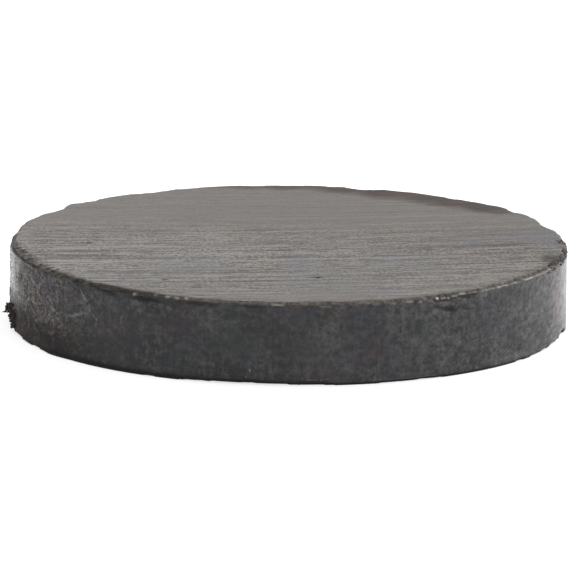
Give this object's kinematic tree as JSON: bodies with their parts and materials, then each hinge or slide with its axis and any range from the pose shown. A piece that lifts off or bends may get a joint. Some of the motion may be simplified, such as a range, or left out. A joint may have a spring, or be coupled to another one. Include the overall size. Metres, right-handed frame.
{
  "type": "disc magnet",
  "caption": "Flat round ferrite magnet: a plain solid disc with ground pole faces, a bare sintered wall and chipped edges.",
  "frame": {"origin": "centre of the lower pole face, on the surface that the disc lies on", "axes": "+Z along the disc's axis, from the lower pole face to the upper one; +X and +Y across the disc"},
  "size_m": [0.02, 0.02, 0.003],
  "materials": {
    "ferrite": "dark grey sintered ferrite, satin and finely scored on the ground pole faces, matt and mottled on the wall"
  },
  "bodies": {
    "root": {"ferrite_disc": "ferrite"}
  },
  "joints": []
}
